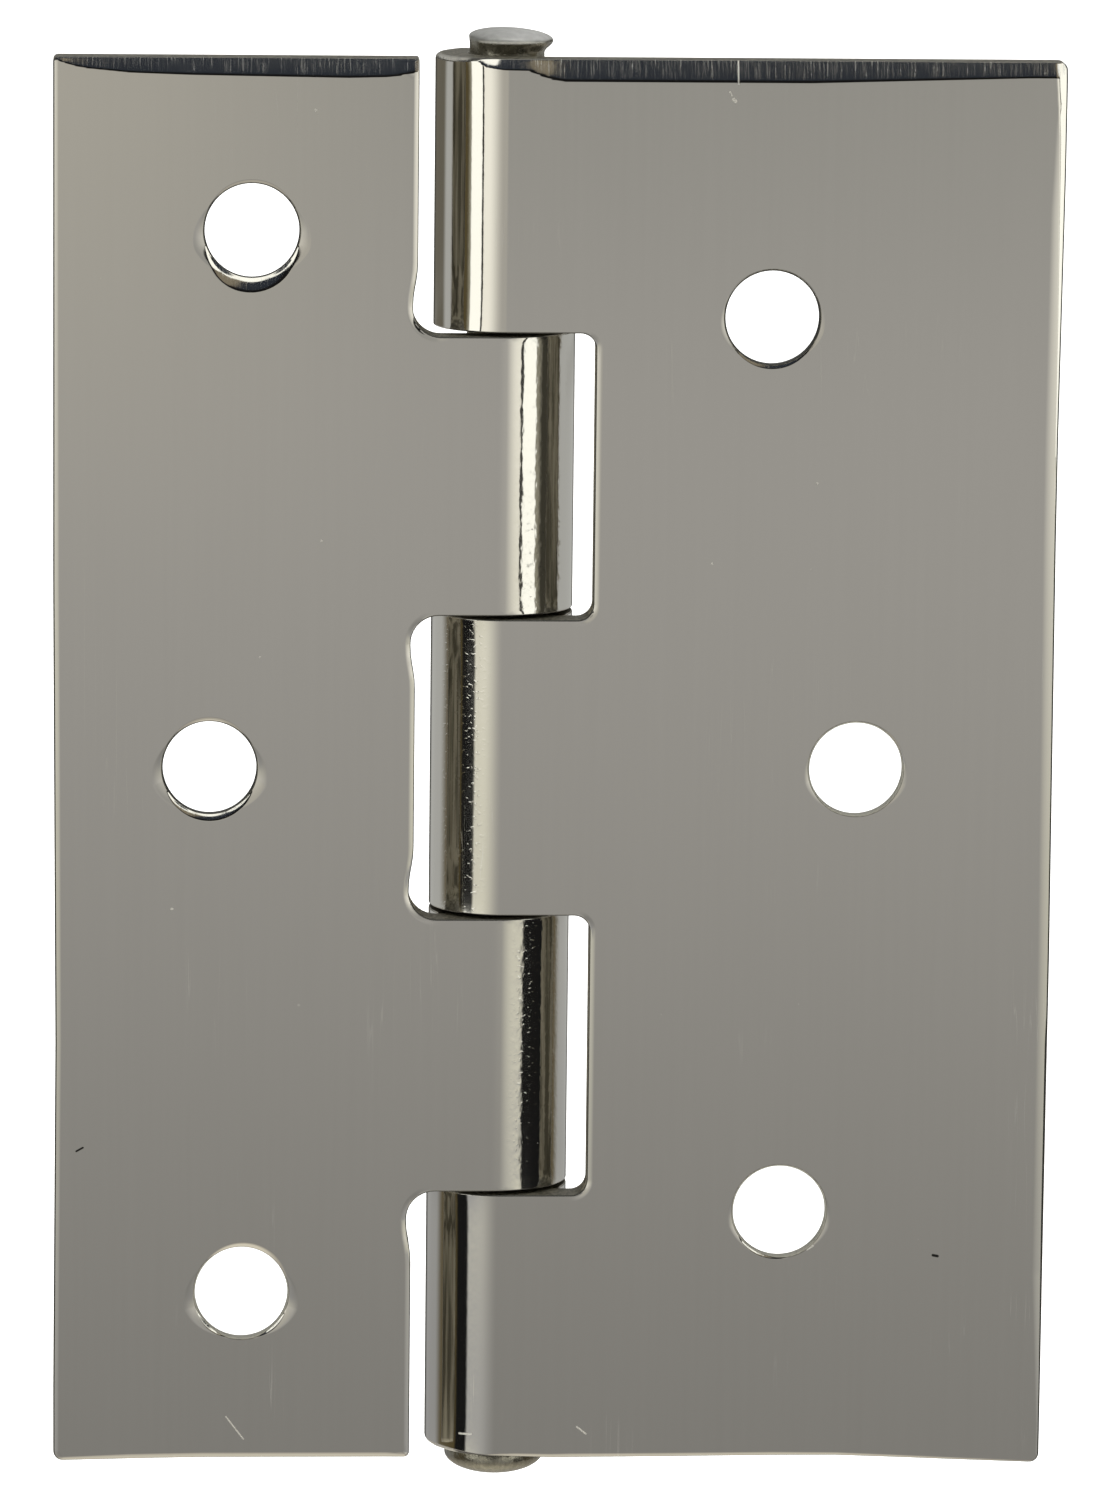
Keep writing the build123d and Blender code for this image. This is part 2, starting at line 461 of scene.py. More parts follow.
def lip_rings(leaf, points, outwards, radius):
    """Rings that round the outer skin over into the sheared side: points, depths, directions, mark."""
    slope = leaf.slope(points - outwards * radius[:, None])
    lean = np.arctan((slope * outwards).sum(axis=1))
    start = points - outwards * (radius * (1 - np.sin(lean)))[:, None]
    centre = leaf.depth(start) + radius * np.cos(lean)
    rings = []
    for k in range(LIP_STEPS + 1):
        share = k / LIP_STEPS
        turn = lean + (math.pi / 2 - lean) * share
        inset = radius * (1 - np.sin(turn))
        depth = centre - radius * np.cos(turn)
        ring = points - outwards * inset[:, None]
        rings.append((ring, depth, outwards * np.sin(turn)[:, None], -np.cos(turn), share))
    return rings


def edge_rings(leaf):
    """A leaf's edge: from the outer skin over its lip, down the sheared side and over to the back."""
    points, outwards = leaf.edge, leaf.outwards
    on_roll = smooth(-points[:, 0] / KNUCKLE_RADIUS) * (np.abs(points[:, 1]) > TOP - HAIR)
    free = np.clip(outwards[:, 0], 0, 1) ** 2 * (points[:, 0] > leaf.width / 2)
    radius = LIP + (ROLL_LIP - LIP) * on_roll + along(leaf.worn_lip, points[:, 1]) * free
    rings = lip_rings(leaf, points, outwards, radius)
    count = len(points)
    for k in range(BACK_STEPS + 1):
        turn = math.pi / 2 * k / BACK_STEPS
        inset = BACK_LIP * (1 - math.cos(turn))
        depth = np.full(count, SHEET - BACK_LIP * (1 - math.sin(turn)))
        back = np.full(count, math.sin(turn))
        ring = points - outwards * inset
        rings.append((ring, depth, outwards * math.cos(turn), back, 1 - k / BACK_STEPS))
    return rings


def hole_rings(leaf, points, outwards):
    """A screw hole's wall: the rolled-over rim, the short straight land and the countersink behind it."""
    count = len(points)
    rim = lip_rings(leaf, points, outwards, np.full(count, RIM_LIP))
    rings = [ring[:-1] + (BORED if ring[-1] else POLISHED,) for ring in rim]
    cone = math.sqrt(0.5)
    mouth = SHEET - HOLE_LAND
    lip = COUNTERSINK_LIP
    wall = [
        (0.0, HOLE_LAND - lip, 1.0, 0.0, BORED),
        (lip, HOLE_LAND + lip, cone, cone, COUNTERSINK_DEEP),
        (mouth - lip, SHEET - lip, cone, cone, COUNTERSINK_MOUTH),
        (mouth + lip, SHEET, 0.0, 1.0, POLISHED),
    ]
    for inset, depth, across, inward, mark in wall:
        ring = points - outwards * inset
        rings.append((ring, np.full(count, depth), outwards * across, np.full(count, inward), mark))
    return rings


def inside(loop, points):
    """Which points lie inside a closed loop."""
    a, b = loop, np.roll(loop, -1, axis=0)
    x, y = points[:, 0:1], points[:, 1:2]
    crosses = (a[:, 1] > y) != (b[:, 1] > y)
    with np.errstate(divide="ignore", invalid="ignore"):
        at = a[:, 0] + (y - a[:, 1]) / (b[:, 1] - a[:, 1]) * (b[:, 0] - a[:, 0])
    return (crosses & (x < at)).sum(axis=1) % 2 == 1


def within(loops, points):
    """Which points lie inside the first loop and outside the others."""
    keep = inside(loops[0], points)
    for hole in loops[1:]:
        keep &= ~inside(hole, points)
    return keep


def around(count):
    """Each step round a ring of points, from one point to the next."""
    return [(i, (i + 1) % count) for i in range(count)]


def skin(loops, extra):
    """Triangles over a face bounded by loops, the first outside and the rest holes, and extra points."""
    points = np.concatenate([*loops, extra])
    edges, start = [], 0
    for loop in loops:
        edges += [(start + i, start + j) for i, j in around(len(loop))]
        start += len(loop)
    whole_hull = 0
    found = delaunay_2d_cdt([Vector(p) for p in points], edges, [], whole_hull, WELD)
    corners = np.array([tuple(v) for v in found[0]])
    source = [ids[0] for ids in found[3]]
    triangles = np.array(found[2])
    keep = within(loops, corners[triangles].mean(axis=1))
    return [[source[v] for v in triangle] for triangle in triangles[keep]]


def grid(first, second):
    """Every pair of two sets of values."""
    return np.stack(np.meshgrid(first, second), axis=-1).reshape(-1, 2)


def roll_points(leaf):
    """A regular net over each knuckle, closer together near its ends."""
    before = np.arange(0 if leaf.is_wide else LEAD_START, 0, -ROLL_STEP)
    stations = np.concatenate([before, -np.arange(0, ROLL_LENGTH, ROLL_STEP)])
    nets = []
    for low, high in leaf.knuckles:
        between = np.linspace(low, high, KNUCKLE_SPANS + 1)[2:-2]
        heights = np.concatenate([low + KNUCKLE_ROWS, between, high - KNUCKLE_ROWS])
        nets.append(grid(stations, heights))
    return np.concatenate(nets)


def rows(points, outwards, widths):
    """Copies of some edge points, moved in across a roll-over, closest together at its inner border."""
    insets = BAND_SHARES[:, None] * np.maximum(widths, NARROWEST_BAND)
    return (points - insets[..., None] * outwards).reshape(-1, 2)


def band_points(leaf):
    """Rows along the rolled-over edges and round the holes, close enough to carry their lean, and a net."""
    s, z = leaf.edge.T
    straight = np.abs(leaf.outwards).max(axis=1) > 1 - HAIR / 10
    across = np.arange(NOTCH_EDGE, leaf.width - NET_MARGIN, NET_STEP)
    up = np.arange(0, TOP - NET_MARGIN, NET_STEP)
    nets = [grid(across, np.concatenate([up, -up[1:]]))]
    by_top, by_bottom, by_free = z > TOP - HAIR, z < HAIR - TOP, s > leaf.width - HAIR
    borders = [(by_top, s, leaf.top_band), (by_bottom, s, leaf.bottom_band), (by_free, z, leaf.free_band)]
    if leaf.is_wide:
        borders.append((by_free, z, WIDE_FREE_GLOW))
    for chosen, place, table in borders:
        chosen = chosen & straight & (s > -KNUCKLE_RADIUS)
        nets.append(rows(leaf.edge[chosen], leaf.outwards[chosen], along(table, place[chosen])))
    if leaf.is_wide:
        corner_s, corner_z = leaf.width - CORNER_NET, TOP - CORNER_NET
        nets = [net[(net[:, 0] < corner_s) | (net[:, 1] < corner_z)] for net in nets]
        nets.append(grid(np.arange(corner_s, leaf.width, BAND_STEP), np.arange(corner_z, TOP, BAND_STEP)))
    chosen = leaf.by_notch() & (leaf.outwards[:, 0] != 0)
    nets.append(rows(leaf.edge[chosen], leaf.outwards[chosen], np.full(chosen.sum(), NOTCH_BAND)))
    for distance, height, rim, _ in leaf.holes:
        edge, into = hole_loop(distance, height)
        across, up = leaf.facing * (edge[:, 0] - distance), edge[:, 1] - height
        dished = dish_width(across / HOLE_RADIUS, up / HOLE_RADIUS, leaf.dish)
        for widths in (rim_width(across, up, rim), dished):
            nets.append(rows(edge, into, widths))
    return np.concatenate(nets)


def leaf_mesh(name, leaf):
    """One leaf as a closed mesh with its own directions at every point."""
    sets = [edge_rings(leaf)]
    margins = [sets[0][0][0] - leaf.outwards * BAND_STEP / 2]
    for distance, height, *_ in leaf.holes:
        edge, into = hole_loop(distance, height)
        sets.append(hole_rings(leaf, edge, into))
        margins.append(sets[-1][0][0] - into * BAND_STEP / 2)
    spots, normals, marks, faces, count = [], [], [], [], 0
    front_ids, back_ids = [], []

    def add(points, depth, flat_normal, depth_normal, mark):
        spot, normal = leaf.place(points, depth, flat_normal, depth_normal)
        spots.append(spot)
        normals.append(normal)
        marks.append(np.full(len(points), mark))

    for rings in sets:
        size = len(rings[0][0])
        for k, ring in enumerate(rings):
            add(*ring)
            if k:
                last = count - size
                faces += [[last + i, count + i, count + j, last + j] for i, j in around(size)]
            else:
                front_ids += range(count, count + size)
            count += size
        back_ids += range(count - size, count)
    net = roll_points(leaf)
    net = net[within(margins, net)]
    bands = band_points(leaf)
    bands = bands[within(margins, bands)]
    front_net = np.concatenate([net, bands])
    front = leaf.depth(front_net), leaf.slope(front_net), np.full(len(front_net), -1.0)
    back = np.full(len(net), SHEET), np.zeros((len(net), 2)), np.ones(len(net))
    for ids, ring, extra, fields in ((front_ids, 0, front_net, front), (back_ids, -1, net, back)):
        add(extra, *fields, POLISHED)
        loops = [rings[ring][0] for rings in sets]
        ids = ids + list(range(count, count + len(extra)))
        count += len(extra)
        for triangle in skin(loops, extra):
            triangle = [ids[v] for v in triangle]
            faces.append(triangle if ring == 0 else triangle[::-1])
    if leaf.facing < 0:
        faces = [face[::-1] for face in faces]
    piece = new_piece(name, np.concatenate(spots), faces)
    sheared = piece.data.attributes.new("sheared", "FLOAT", "POINT")
    sheared.data.foreach_set("value", np.concatenate(marks))
    normals = np.concatenate(normals)
    normals = normals / np.linalg.norm(normals, axis=1)[:, None]
    piece.data.normals_split_custom_set_from_vertices([tuple(n) for n in normals])
    return piece


def new_object(name, data):
    """An object in the scene from its mesh, light or camera data."""
    made = bpy.data.objects.new(name, data)
    bpy.context.scene.collection.objects.link(made)
    return made


def new_piece(name, spots, faces):
    """A smooth mesh object from points and faces."""
    mesh = bpy.data.meshes.new(name)
    mesh.from_pydata([tuple(p) for p in spots], [], faces)
    mesh.validate()
    mesh.shade_smooth()
    return new_object(name, mesh)


def knuckle_ends(knuckles, notch_corners):
    """The pin side of a leaf's outline, from the top down: round each roll's end and into each notch."""
    path = []
    for i, (low, high) in enumerate(knuckles):
        if i:
            path += notch_corners(knuckles[i - 1][0], high)
        path += [(-ROLL_LENGTH, high, ROLL_END_CORNER), (-ROLL_LENGTH, low, ROLL_END_CORNER)]
    return path


def plain_notch(upper, lower):
    return [(NOTCH_EDGE, upper, WIDE_NOTCH_CORNER), (NOTCH_EDGE, lower, WIDE_NOTCH_CORNER)]


def relief(edge, inward):
    """The punched corner of a narrow leaf's notch, from its tab's edge to the notch edge."""
    run_start = edge + inward * RELIEF_STRAIGHT
    bite = NOTCH_EDGE + RELIEF_OVERSHOOT
    return [
        (bite, edge, RELIEF_RADIUS),
        (bite, run_start, RELIEF_EASE),
        (NOTCH_EDGE, run_start + inward * RELIEF_RUNOUT, RELIEF_EASE),
    ]


def relieved_notch(upper, lower):
    return relief(upper, -1) + relief(lower, 1)[::-1]


def wide_leaf():
    outline = [(WIDE_WIDTH, -TOP, WIDE_BOTTOM_CORNER), (WIDE_WIDTH, TOP, WIDE_TOP_CORNER)]
    outline += knuckle_ends(WIDE_KNUCKLES, plain_notch)
    leaf = Leaf(
        facing=1,
        width=WIDE_WIDTH,
        outline=outline,
        knuckles=WIDE_KNUCKLES,
        holes=WIDE_HOLES,
        dish=WIDE_DISH,
        top_band=WIDE_TOP_BAND,
        top_lean=WIDE_TOP_LEAN,
        bottom_band=WIDE_BOTTOM_BAND,
        free_band=WIDE_FREE_BAND,
        free_lean=WIDE_FREE_LEAN,
        worn_lip=WIDE_WORN_LIP,
        bottom_drift=WIDE_BOTTOM_DRIFT,
        free_drift=WIDE_FREE_DRIFT,
    )
    return leaf_mesh("wide_leaf_sheet", leaf)


def narrow_leaf():
    outline = [(NARROW_WIDTH, -TOP, NARROW_BOTTOM_CORNER), (NARROW_WIDTH, TOP, NARROW_TOP_CORNER)]
    outline += [(NOTCH_EDGE, TOP, NARROW_TOP_NOTCH_CORNER)]
    outline += relief(NARROW_KNUCKLES[0][1], 1)[::-1]
    outline += knuckle_ends(NARROW_KNUCKLES, relieved_notch)
    outline += relief(NARROW_KNUCKLES[-1][0], -1)
    outline += [(NOTCH_EDGE, -TOP, NARROW_BOTTOM_NOTCH_CORNER)]
    leaf = Leaf(
        facing=-1,
        width=NARROW_WIDTH,
        outline=outline,
        knuckles=NARROW_KNUCKLES,
        holes=NARROW_HOLES,
        dish=NARROW_DISH,
        top_band=NARROW_TOP_BAND,
        top_lean=NARROW_TOP_LEAN,
        bottom_band=NARROW_BOTTOM_BAND,
        free_band=NARROW_FREE_BAND,
        free_lean=NARROW_FREE_LEAN,
        worn_lip=NARROW_WORN_LIP,
        bottom_drift=NARROW_BOTTOM_DRIFT,
        free_drift=NARROW_FREE_DRIFT,
    )
    return leaf_mesh("narrow_leaf_sheet", leaf)


def dome(radius, rim_z, pole_z):
    """An oval dome's profile from its rim to its pole, as (radius, z)."""
    turns = [math.pi / 2 * k / DOME_STEPS for k in range(DOME_STEPS + 1)]
    return [(radius * math.cos(t), rim_z + (pole_z - rim_z) * math.sin(t)) for t in turns]


def pin_profile():
    """Half the pin's outline from its lowest point up, as (radius, z)."""
    profile = dome(FORGED_RADIUS, -TOP - FORGED_RIM, pin_low.z)[::-1]
    profile += [(FORGED_RADIUS, -TOP - PIN_BEVEL), (FORGED_RADIUS - PIN_BEVEL, -TOP)]
    profile += [(PIN_RADIUS + PIN_BEVEL, -TOP), (PIN_RADIUS, -TOP + PIN_BEVEL)]
    profile += [(PIN_RADIUS, TOP), (PIN_RADIUS, FLARE_Z - PIN_BEVEL)]
    for k in range(FLARE_STEPS + 1):
        share = k / FLARE_STEPS
        flared = (share + smooth(share)) / 2
        radius = PIN_RADIUS + (PEENED_RADIUS - PIN_RADIUS) * flared
        profile.append((radius, FLARE_Z + PEENED_FLARE * share))
    return profile + dome(PEENED_RADIUS, BRIM_Z + PIN_BEVEL, pin_high.z - PIN_BEVEL)[:-1]


def hinge_pin():
    """The pin: a round forged head below, a straight shank, and a peened head that sits a little askew."""
    angles = 2 * math.pi * np.arange(PIN_STEPS) / PIN_STEPS
    broad = np.sin(BROAD_LOBES * angles + BROAD_LOBES_TURN)
    lobes = broad + FINE_LOBES_SHARE * np.sin(FINE_LOBES * angles)
    spots = []
    for radius, z in pin_profile()[1:]:
        above = max(z - TOP, 0.0)
        askew = float(smooth(above / (PEENED_NECK + PEENED_FLARE)))
        wobble = 1 + PEENED_WOBBLE * askew * lobes
        x = radius * wobble * np.cos(angles) + PEENED_SHIFT * askew
        y = radius * wobble * np.sin(angles)
        height = z - math.tan(PEENED_TILT) * askew * x
        spots.append(np.stack([x, KNUCKLE_RADIUS + y, height], axis=1))
    faces = []
    for k in range(len(spots) - 1):
        low, high = k * PIN_STEPS, (k + 1) * PIN_STEPS
        faces += [[low + i, low + j, high + j, high + i] for i, j in around(PIN_STEPS)]
    low_pole = len(spots) * PIN_STEPS
    high_pole = low_pole + 1
    last = low_pole - PIN_STEPS
    for i, j in around(PIN_STEPS):
        faces += [[low_pole, j, i], [high_pole, last + i, last + j]]
    poles = [
        (0, KNUCKLE_RADIUS, pin_low.z),
        (PEENED_SHIFT, KNUCKLE_RADIUS, pin_high.z - PIN_BEVEL),
    ]
    return new_piece("headed_pin", np.concatenate([*spots, poles]) * MM, faces)


class Graph:
    """Short names for the shader nodes that the materials and the surroundings use."""

    def __init__(self, tree):
        self.tree = tree
        tree.nodes.clear()

    def node(self, kind, inputs=None, **settings):
        made = self.tree.nodes.new("ShaderNode" + kind)
        for name, value in settings.items():
            setattr(made, name, value)
        for name, value in (inputs or {}).items():
            self.put(made.inputs[name], value)
        return made

    def put(self, socket, value):
        if isinstance(value, bpy.types.NodeSocket):
            self.tree.links.new(value, socket)
        else:
            socket.default_value = value

    def math(self, operation, *values, kind="Math"):
        made = self.node(kind, operation=operation)
        for socket, value in zip(made.inputs, values):
            self.put(socket, value)
        return made.outputs[0]

    def vector(self, operation, *values):
        return self.math(operation, *values, kind="VectorMath")

    def chain(self, operation, first, *others):
        for other in others:
            first = self.math(operation, first, other)
        return first

    def total(self, *values):
        return self.chain("ADD", *values)

    def product(self, *values):
        return self.chain("MULTIPLY", *values)

    def either(self, *values):
        return self.chain("MAXIMUM", *values)

    def split(self, vector):
        return self.node("SeparateXYZ", {"Vector": vector}).outputs

    def ramp(self, value, low, high, out_low=0.0, out_high=1.0):
        """Runs smoothly from out_low to out_high as value goes from low to high."""
        inputs = {"Value": value, "From Min": low, "From Max": high, "To Min": out_low, "To Max": out_high}
        return self.node("MapRange", inputs, interpolation_type="SMOOTHSTEP").outputs["Result"]

    def band(self, value, low, high, soft):
        """1 between low and high, fading to 0 over soft at each end."""
        rise = self.ramp(value, low - soft, low + soft)
        fall = self.ramp(value, high - soft, high + soft, 1.0, 0.0)
        return self.product(rise, fall)

    def noise(self, vector, scale, detail=2.0, roughness=0.5):
        inputs = {"Vector": vector, "Scale": scale, "Detail": detail, "Roughness": roughness}
        return self.node("TexNoise", inputs).outputs["Fac"]

    def grain(self, vector, stretch, detail=2.0, roughness=0.5, scale=1.0):
        """Noise that is finer along some axes than along others."""
        return self.noise(self.vector("MULTIPLY", vector, stretch), scale, detail, roughness)

    def mix(self, factor, first, second):
        made = self.node("Mix", data_type="RGBA")
        for socket, value in ((0, factor), (6, first), (7, second)):
            self.put(made.inputs[socket], value)
        return made.outputs[2]

    def stroke(self, x, z, start, end, half_width):
        """1 on a straight scratch from start to end, fading out at its sides."""
        along_x, along_z = end[0] - start[0], end[1] - start[1]
        length = math.hypot(along_x, along_z)
        from_x, from_z = self.math("SUBTRACT", x, start[0]), self.math("SUBTRACT", z, start[1])
        run = self.total(self.product(from_x, along_x / length), self.product(from_z, along_z / length))
        off = self.total(self.product(from_x, -along_z / length), self.product(from_z, along_x / length))
        past = self.math("SUBTRACT", run, self.math("MINIMUM", self.math("MAXIMUM", run, 0.0), length))
        away = self.math("SQRT", self.total(self.product(past, past), self.product(off, off)))
        return self.ramp(away, half_width * 0.5, half_width, 1.0, 0.0)

    def millimetres(self):
        """Places on a piece, in millimetres."""
        places = self.vector("SCALE", self.node("TexCoord").outputs["Object"])
        places.node.inputs["Scale"].default_value = 1 / MM
        return places

    def metal(self, tint, metallic, roughness, height):
        """Ends a material: metal with a fine relief, whose height is in millimetres."""
        bump = self.node("Bump", {"Strength": 1.0, "Distance": MM, "Height": height})
        inputs = {"Base Color": tint, "Metallic": metallic, "Roughness": roughness}
        inputs["Normal"] = bump.outputs["Normal"]
        self.end("OutputMaterial", self.node("BsdfPrincipled", inputs).outputs["BSDF"])

    def end(self, kind, shader):
        self.put(self.node(kind).inputs["Surface"], shader)


def new_material(name):
    """A material, and the graph to fill it with."""
    material = bpy.data.materials.new(name)
    material.use_nodes = True
    return material, Graph(material.node_tree)


# Bright scratches and dark pits on the flush faces, as (start, end, half width) in the frame's x and z
BRIGHT_SCRATCHES = [
    ((12.1, 36.75), (12.1, 38.1), 0.05),
    ((11.65, 36.35), (11.75, 36.15), 0.06),
    ((11.85, 35.95), (11.95, 35.85), 0.13),
    ((-14.7, -35.75), (-13.75, -37.0), 0.05),
    ((4.35, -36.35), (4.85, -36.75), 0.06),
    ((16.75, -26.45), (17.05, -26.25), 0.1),
    ((-2.0, -36.87), (-1.4, -36.83), 0.07),
]
DARK_PITS = [
    ((23.6, -26.8), (23.85, -26.85), 0.1),
    ((-22.8, -21.0), (-22.45, -20.8), 0.07),
]

# Where the sheet's finish changes, and where shade is painted along the front lips: depths behind the flush
# faces, distances from the pin line, and heights
BEND_DEPTHS = (0.03, 0.3)
BEND_SIDES = (3.0, 3.4)
PIMPLED_HEIGHTS = (-22, 9)
PIMPLED_FADE = 2
SCRATCHED_DEPTHS = (0.7, 0.9)
PITTED_DEPTHS = (0.3, 0.5)
LIP_SHADE_DEPTHS = (0.6, 0.9)
PEEL_CHANGE = (-0.2, 0.2)

# Specks, which are painted bright as glints, as shares of their spacing, and how the hairlines lean
SPECK_SIZES = (0.008, 0.032)
HAIRLINE_LEAN = math.radians(6)

# Where the pin's finish changes, and where a glint is painted along the front of its brim: heights about
# its brim, and depths behind the flush faces
CROWN_HEIGHTS = (BRIM_Z - 0.1, BRIM_Z + 0.1)
BRIM_GLINT_HEIGHTS = (BRIM_Z - 0.1, BRIM_Z + 0.02)
BRIM_GLINT_FADE = 0.06
BRIM_GLINT_DEPTHS = (2.6, 2.2)

# Heights of the fine relief, with the peel's in the narrow leaf and in the wide one
PEEL_HEIGHTS = (0.0015, 0.0065)
PIMPLE_HEIGHT = 0.0012
DRAG_DEPTH = 0.001
DENT_HEIGHT = 0.04
PIN_DRAG_HEIGHT = 0.01

# Colours of the steel
BRUSHED = (0.615, 0.60, 0.565, 1)
BRUSHED_BRIGHT = (0.635, 0.62, 0.585, 1)
DRAGGED = (0.85, 0.86, 0.86, 1)
# Scratches and hairlines, and the glints painted on the specks
SCRATCHED_AND_GLINTING = (0.95, 0.94, 0.90, 1)
PITTED = (0.03, 0.03, 0.03, 1)
CUT_DARK = (0.10, 0.09, 0.062, 1)
CUT_BRIGHT = (0.36, 0.33, 0.25, 1)
# Painted shade on the sheared sides that face upwards
CUT_TOP_PAINTED_SHADE = (0.035, 0.033, 0.027, 1)
# Painted shade: the dark line along the front lips and the dark side of the bores
PAINTED_SHADE = (0.02, 0.02, 0.018, 1)
# Painted light on the lower right of the bores
LIT_BORE = (0.32, 0.31, 0.27, 1)
SHANK_DARK = (0.12, 0.115, 0.09, 1)
SHANK_BRIGHT = (0.42, 0.40, 0.34, 1)
# The hammered top, shaded and lit by painted light as well as by its dents
HAMMERED_SHADED = (0.2, 0.2, 0.19, 1)
HAMMERED_LIT = (0.62, 0.62, 0.62, 1)
# A painted glint along the front of the brim
BRIM_PAINTED_GLINT = (0.8, 0.79, 0.74, 1)


def leaf_steel():
    """Polished sheet: faint upright brushing, peeled skin on the bends, duller sheared sides, with painted
    shade on the up-facing sheared sides and along the front lips, painted light and shade in the bores, and
    specks painted bright as glints.
    """
    material, g = new_material("polished_sheet_steel")
    at = g.millimetres()
    x, y, z = g.split(at)
    facing_up = g.split(g.node("TexCoord").outputs["Normal"])[2]
    mark = g.node("Attribute", attribute_name="sheared").outputs["Fac"]
    sheared = g.math("MINIMUM", mark, SHEARED)
    bored = g.ramp(mark, SHEARED, BORED)
    polished = g.math("SUBTRACT", 1.0, sheared)

    streaks = g.grain(at, (2.2, 2.2, 0.06))
    cloud = g.noise(at, 0.12)
    bend = g.product(g.ramp(y, *BEND_DEPTHS), g.ramp(g.math("ABSOLUTE", x), *BEND_SIDES, 1.0, 0.0))
    peel = g.grain(at, (1.0, 1.0, 0.6), detail=1.0, scale=3.2)
    pimples = g.ramp(g.noise(at, 5.0, detail=0.0), 0.62, 0.75)
    pimples = g.product(pimples, g.band(z, *PIMPLED_HEIGHTS, PIMPLED_FADE))

    rolled_up = g.product(g.ramp(facing_up, 0.15, 0.35), polished)
    drag = g.grain(at, (9.0, 0.3, 0.5), detail=3.0, roughness=0.7)
    drag_lines = g.product(g.ramp(drag, 0.47, 0.68), rolled_up)

    flat = g.vector("MULTIPLY", at, (1.0, 0.0, 1.0))
    cells = g.node("TexVoronoi", {"Vector": flat, "Scale": 0.42}).outputs
    chosen = g.ramp(g.split(cells["Color"])[0], 0.4, 0.5)
    size = g.ramp(g.split(cells["Color"])[1], 0.0, 1.0, *SPECK_SIZES)
    # The specks are painted bright as glints
    glinting_speck = g.product(g.math("LESS_THAN", cells["Distance"], size), chosen)
    turned = {"Vector": at, "Rotation": (0.0, HAIRLINE_LEAN, 0.0), "Scale": (0.9, 0.0, 0.02)}
    waves = g.noise(g.node("Mapping", turned).outputs["Vector"], 1.0, detail=3.0)
    contour = g.math("ABSOLUTE", g.math("SUBTRACT", waves, 0.5))
    hairline = g.product(g.ramp(contour, 0.001, 0.004, 1.0, 0.0), g.ramp(cloud, 0.56, 0.68))
    scratch = g.either(*[g.stroke(x, z, *stroke) for stroke in BRIGHT_SCRATCHES])
    scratch = g.product(scratch, g.ramp(y, *SCRATCHED_DEPTHS, 1.0, 0.0))
    pit = g.either(*[g.stroke(x, z, *stroke) for stroke in DARK_PITS])
    pit = g.product(pit, g.ramp(y, *PITTED_DEPTHS, 1.0, 0.0))

    tint = g.mix(streaks, BRUSHED, BRUSHED_BRIGHT)
    tint = g.mix(g.product(drag_lines, 0.4), tint, DRAGGED)
    # Real scratches and hairlines, with specks painted bright as glints
    marks_and_speck_glints = g.either(g.product(glinting_speck, 0.9), g.product(hairline, 0.15), scratch)
    tint = g.mix(marks_and_speck_glints, tint, SCRATCHED_AND_GLINTING)
    hatch = g.ramp(g.grain(at, (6.0, 2.4, 0.12)), 0.38, 0.62)
    cut = g.mix(hatch, CUT_DARK, CUT_BRIGHT)
    # Painted shade: sheared sides that face upwards are darkened towards near black
    cut = g.mix(g.ramp(facing_up, 0.5, 0.9, 0.0, 0.7), cut, CUT_TOP_PAINTED_SHADE)
    tint = g.mix(sheared, tint, cut)
    # Painted shade: a dark line along the front lips of the edges
    lip = g.product(g.ramp(sheared, 0.02, 0.25), g.ramp(sheared, 0.8, 1.0, 1.0, 0.0))
    lip = g.product(lip, g.ramp(y, *LIP_SHADE_DEPTHS, 1.0, 0.0))
    tint = g.mix(g.product(lip, 0.9), tint, PAINTED_SHADE)
    # Painted light and shade in the bores: dark towards the upper left, lighter towards the lower right
    low_right = g.ramp(g.math("SUBTRACT", z, g.product(x, 0.5)), 2, -2)
    bore_painted_light = g.mix(low_right, PAINTED_SHADE, LIT_BORE)
    tint = g.mix(bored, tint, bore_painted_light)
    tint = g.mix(pit, tint, PITTED)

    roughness = g.total(g.product(streaks, 0.03), g.product(cloud, 0.03), 0.03)
    roughness = g.total(roughness, g.product(rolled_up, 0.08), g.product(drag_lines, 0.14))
    rough_marks = g.either(glinting_speck, scratch, pit, g.product(sheared, 0.9), g.product(hairline, 0.3))
    roughness = g.total(roughness, g.product(rough_marks, 0.45))

    peel_height = g.ramp(x, *PEEL_CHANGE, *PEEL_HEIGHTS)
    height = g.total(g.product(peel, peel_height), g.product(pimples, PIMPLE_HEIGHT))
    height = g.total(g.product(height, bend), g.product(drag_lines, -DRAG_DEPTH))
    g.metal(tint, g.math("SUBTRACT", 1.0, g.product(sheared, 0.85)), roughness, height)
    return material


